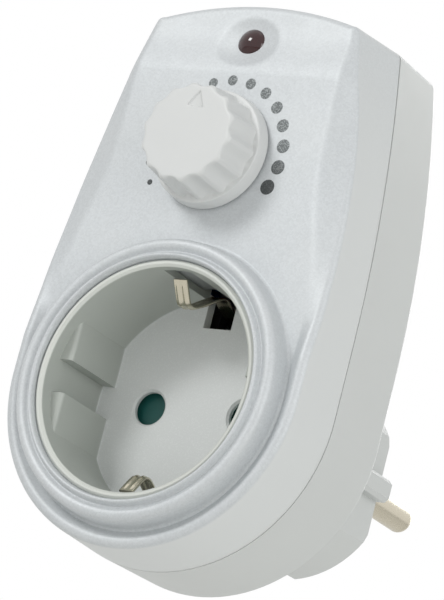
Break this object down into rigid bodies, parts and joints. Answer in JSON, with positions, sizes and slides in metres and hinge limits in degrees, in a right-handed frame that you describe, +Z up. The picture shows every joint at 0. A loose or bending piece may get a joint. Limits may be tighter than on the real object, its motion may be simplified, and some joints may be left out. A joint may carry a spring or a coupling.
{
  "type": "plug-in dimmer",
  "caption": "Plug-in lamp dimmer: round two-pin plug behind, recessed socket in front, fluted knob with a dotted scale and a small red indicator lens above.",
  "frame": {"origin": "centre of the plug's face, on the common axis of plug and socket", "axes": "+X to the right seen from the front, +Y from the front towards the wall socket, +Z up"},
  "size_m": [0.058, 0.0812, 0.0988],
  "materials": {
    "silver_paint": "silver paint on moulded ABS, satin",
    "grey_shell": "moulded, satin",
    "grey_insert": "moulded, fine grain",
    "grey_knob": "moulded, satin",
    "red_lens": "polished, translucent",
    "teal_shutter": "moulded",
    "nickel_pin": "nickel on brass, satin",
    "nickel_spring": "nickel on bronze strip",
    "zinc_screw": "zinc plated",
    "brass_contact": "stamped",
    "black_plastic": "moulded",
    "white_plastic": "moulded",
    "board_laminate": "glass laminate",
    "spring_steel": "drawn wire",
    "aluminium_sink": "extruded",
    "ferrite": "sintered",
    "copper_winding": "enamelled copper",
    "yellow_film": "cast box",
    "glass_tube": "clear",
    "wire_brown": "PVC",
    "wire_blue": "PVC"
  },
  "bodies": {
    "casing": {"front_cover": "silver_paint", "rear_shell": "grey_shell", "case_screws": "zinc_screw", "socket_insert": "grey_insert", "contact_carrier": "black_plastic", "shutter_spring": "spring_steel", "neutral_contact": "brass_contact", "load_contact": "brass_contact", "left_pin": "nickel_pin", "right_pin": "nickel_pin", "pin_retainer": "white_plastic", "retainer_screws": "zinc_screw", "upper_earth_strip": "nickel_spring", "lower_earth_strip": "nickel_spring", "earth_bridge": "brass_contact", "indicator_lens": "red_lens", "indicator_lamp": "glass_tube", "potentiometer_housing": "black_plastic", "potentiometer_nut": "zinc_screw", "potentiometer_track": "black_plastic", "circuit_board": "board_laminate", "board_screws": "zinc_screw", "choke_core": "ferrite", "choke_winding": "copper_winding", "suppression_capacitor": "yellow_film", "timing_capacitor": "yellow_film", "triac": "black_plastic", "heat_sink": "aluminium_sink", "triac_screw": "zinc_screw", "diac": "glass_tube", "resistors": "white_plastic", "fuse": "glass_tube", "fuse_clips": "brass_contact", "live_wire": "wire_brown", "load_wire": "wire_brown", "neutral_wire": "wire_blue"},
    "knob": {"knob": "grey_knob", "potentiometer_shaft": "white_plastic", "potentiometer_wiper": "brass_contact"},
    "shutter": {"shutter": "teal_shutter"},
    "upper_earth_clip": {"upper_earth_clip": "nickel_spring"},
    "lower_earth_clip": {"lower_earth_clip": "nickel_spring"}
  },
  "joints": [
    {"name": "knob_turn", "type": "hinge", "parent": "casing", "child": "knob", "pos_m": [0, -0.0563, 0.0418], "axis": [0, 1, 0], "range_deg": [-140.5, 129.5]},
    {"name": "shutter_turn", "type": "hinge", "parent": "casing", "child": "shutter", "pos_m": [0, -0.0354, 0], "axis": [0, 1, 0], "range_deg": [0, 38], "stiffness_Nm_per_rad": 0.002, "springref_deg": -17.19},
    {"name": "upper_clip_flex", "type": "hinge", "parent": "casing", "child": "upper_earth_clip", "pos_m": [0, -0.0314, 0.0164], "axis": [-1, 0, 0], "range_deg": [0, 6], "stiffness_Nm_per_rad": 0.5},
    {"name": "lower_clip_flex", "type": "hinge", "parent": "casing", "child": "lower_earth_clip", "pos_m": [0, -0.0314, -0.0164], "axis": [1, 0, 0], "range_deg": [0, 6], "stiffness_Nm_per_rad": 0.5}
  ]
}
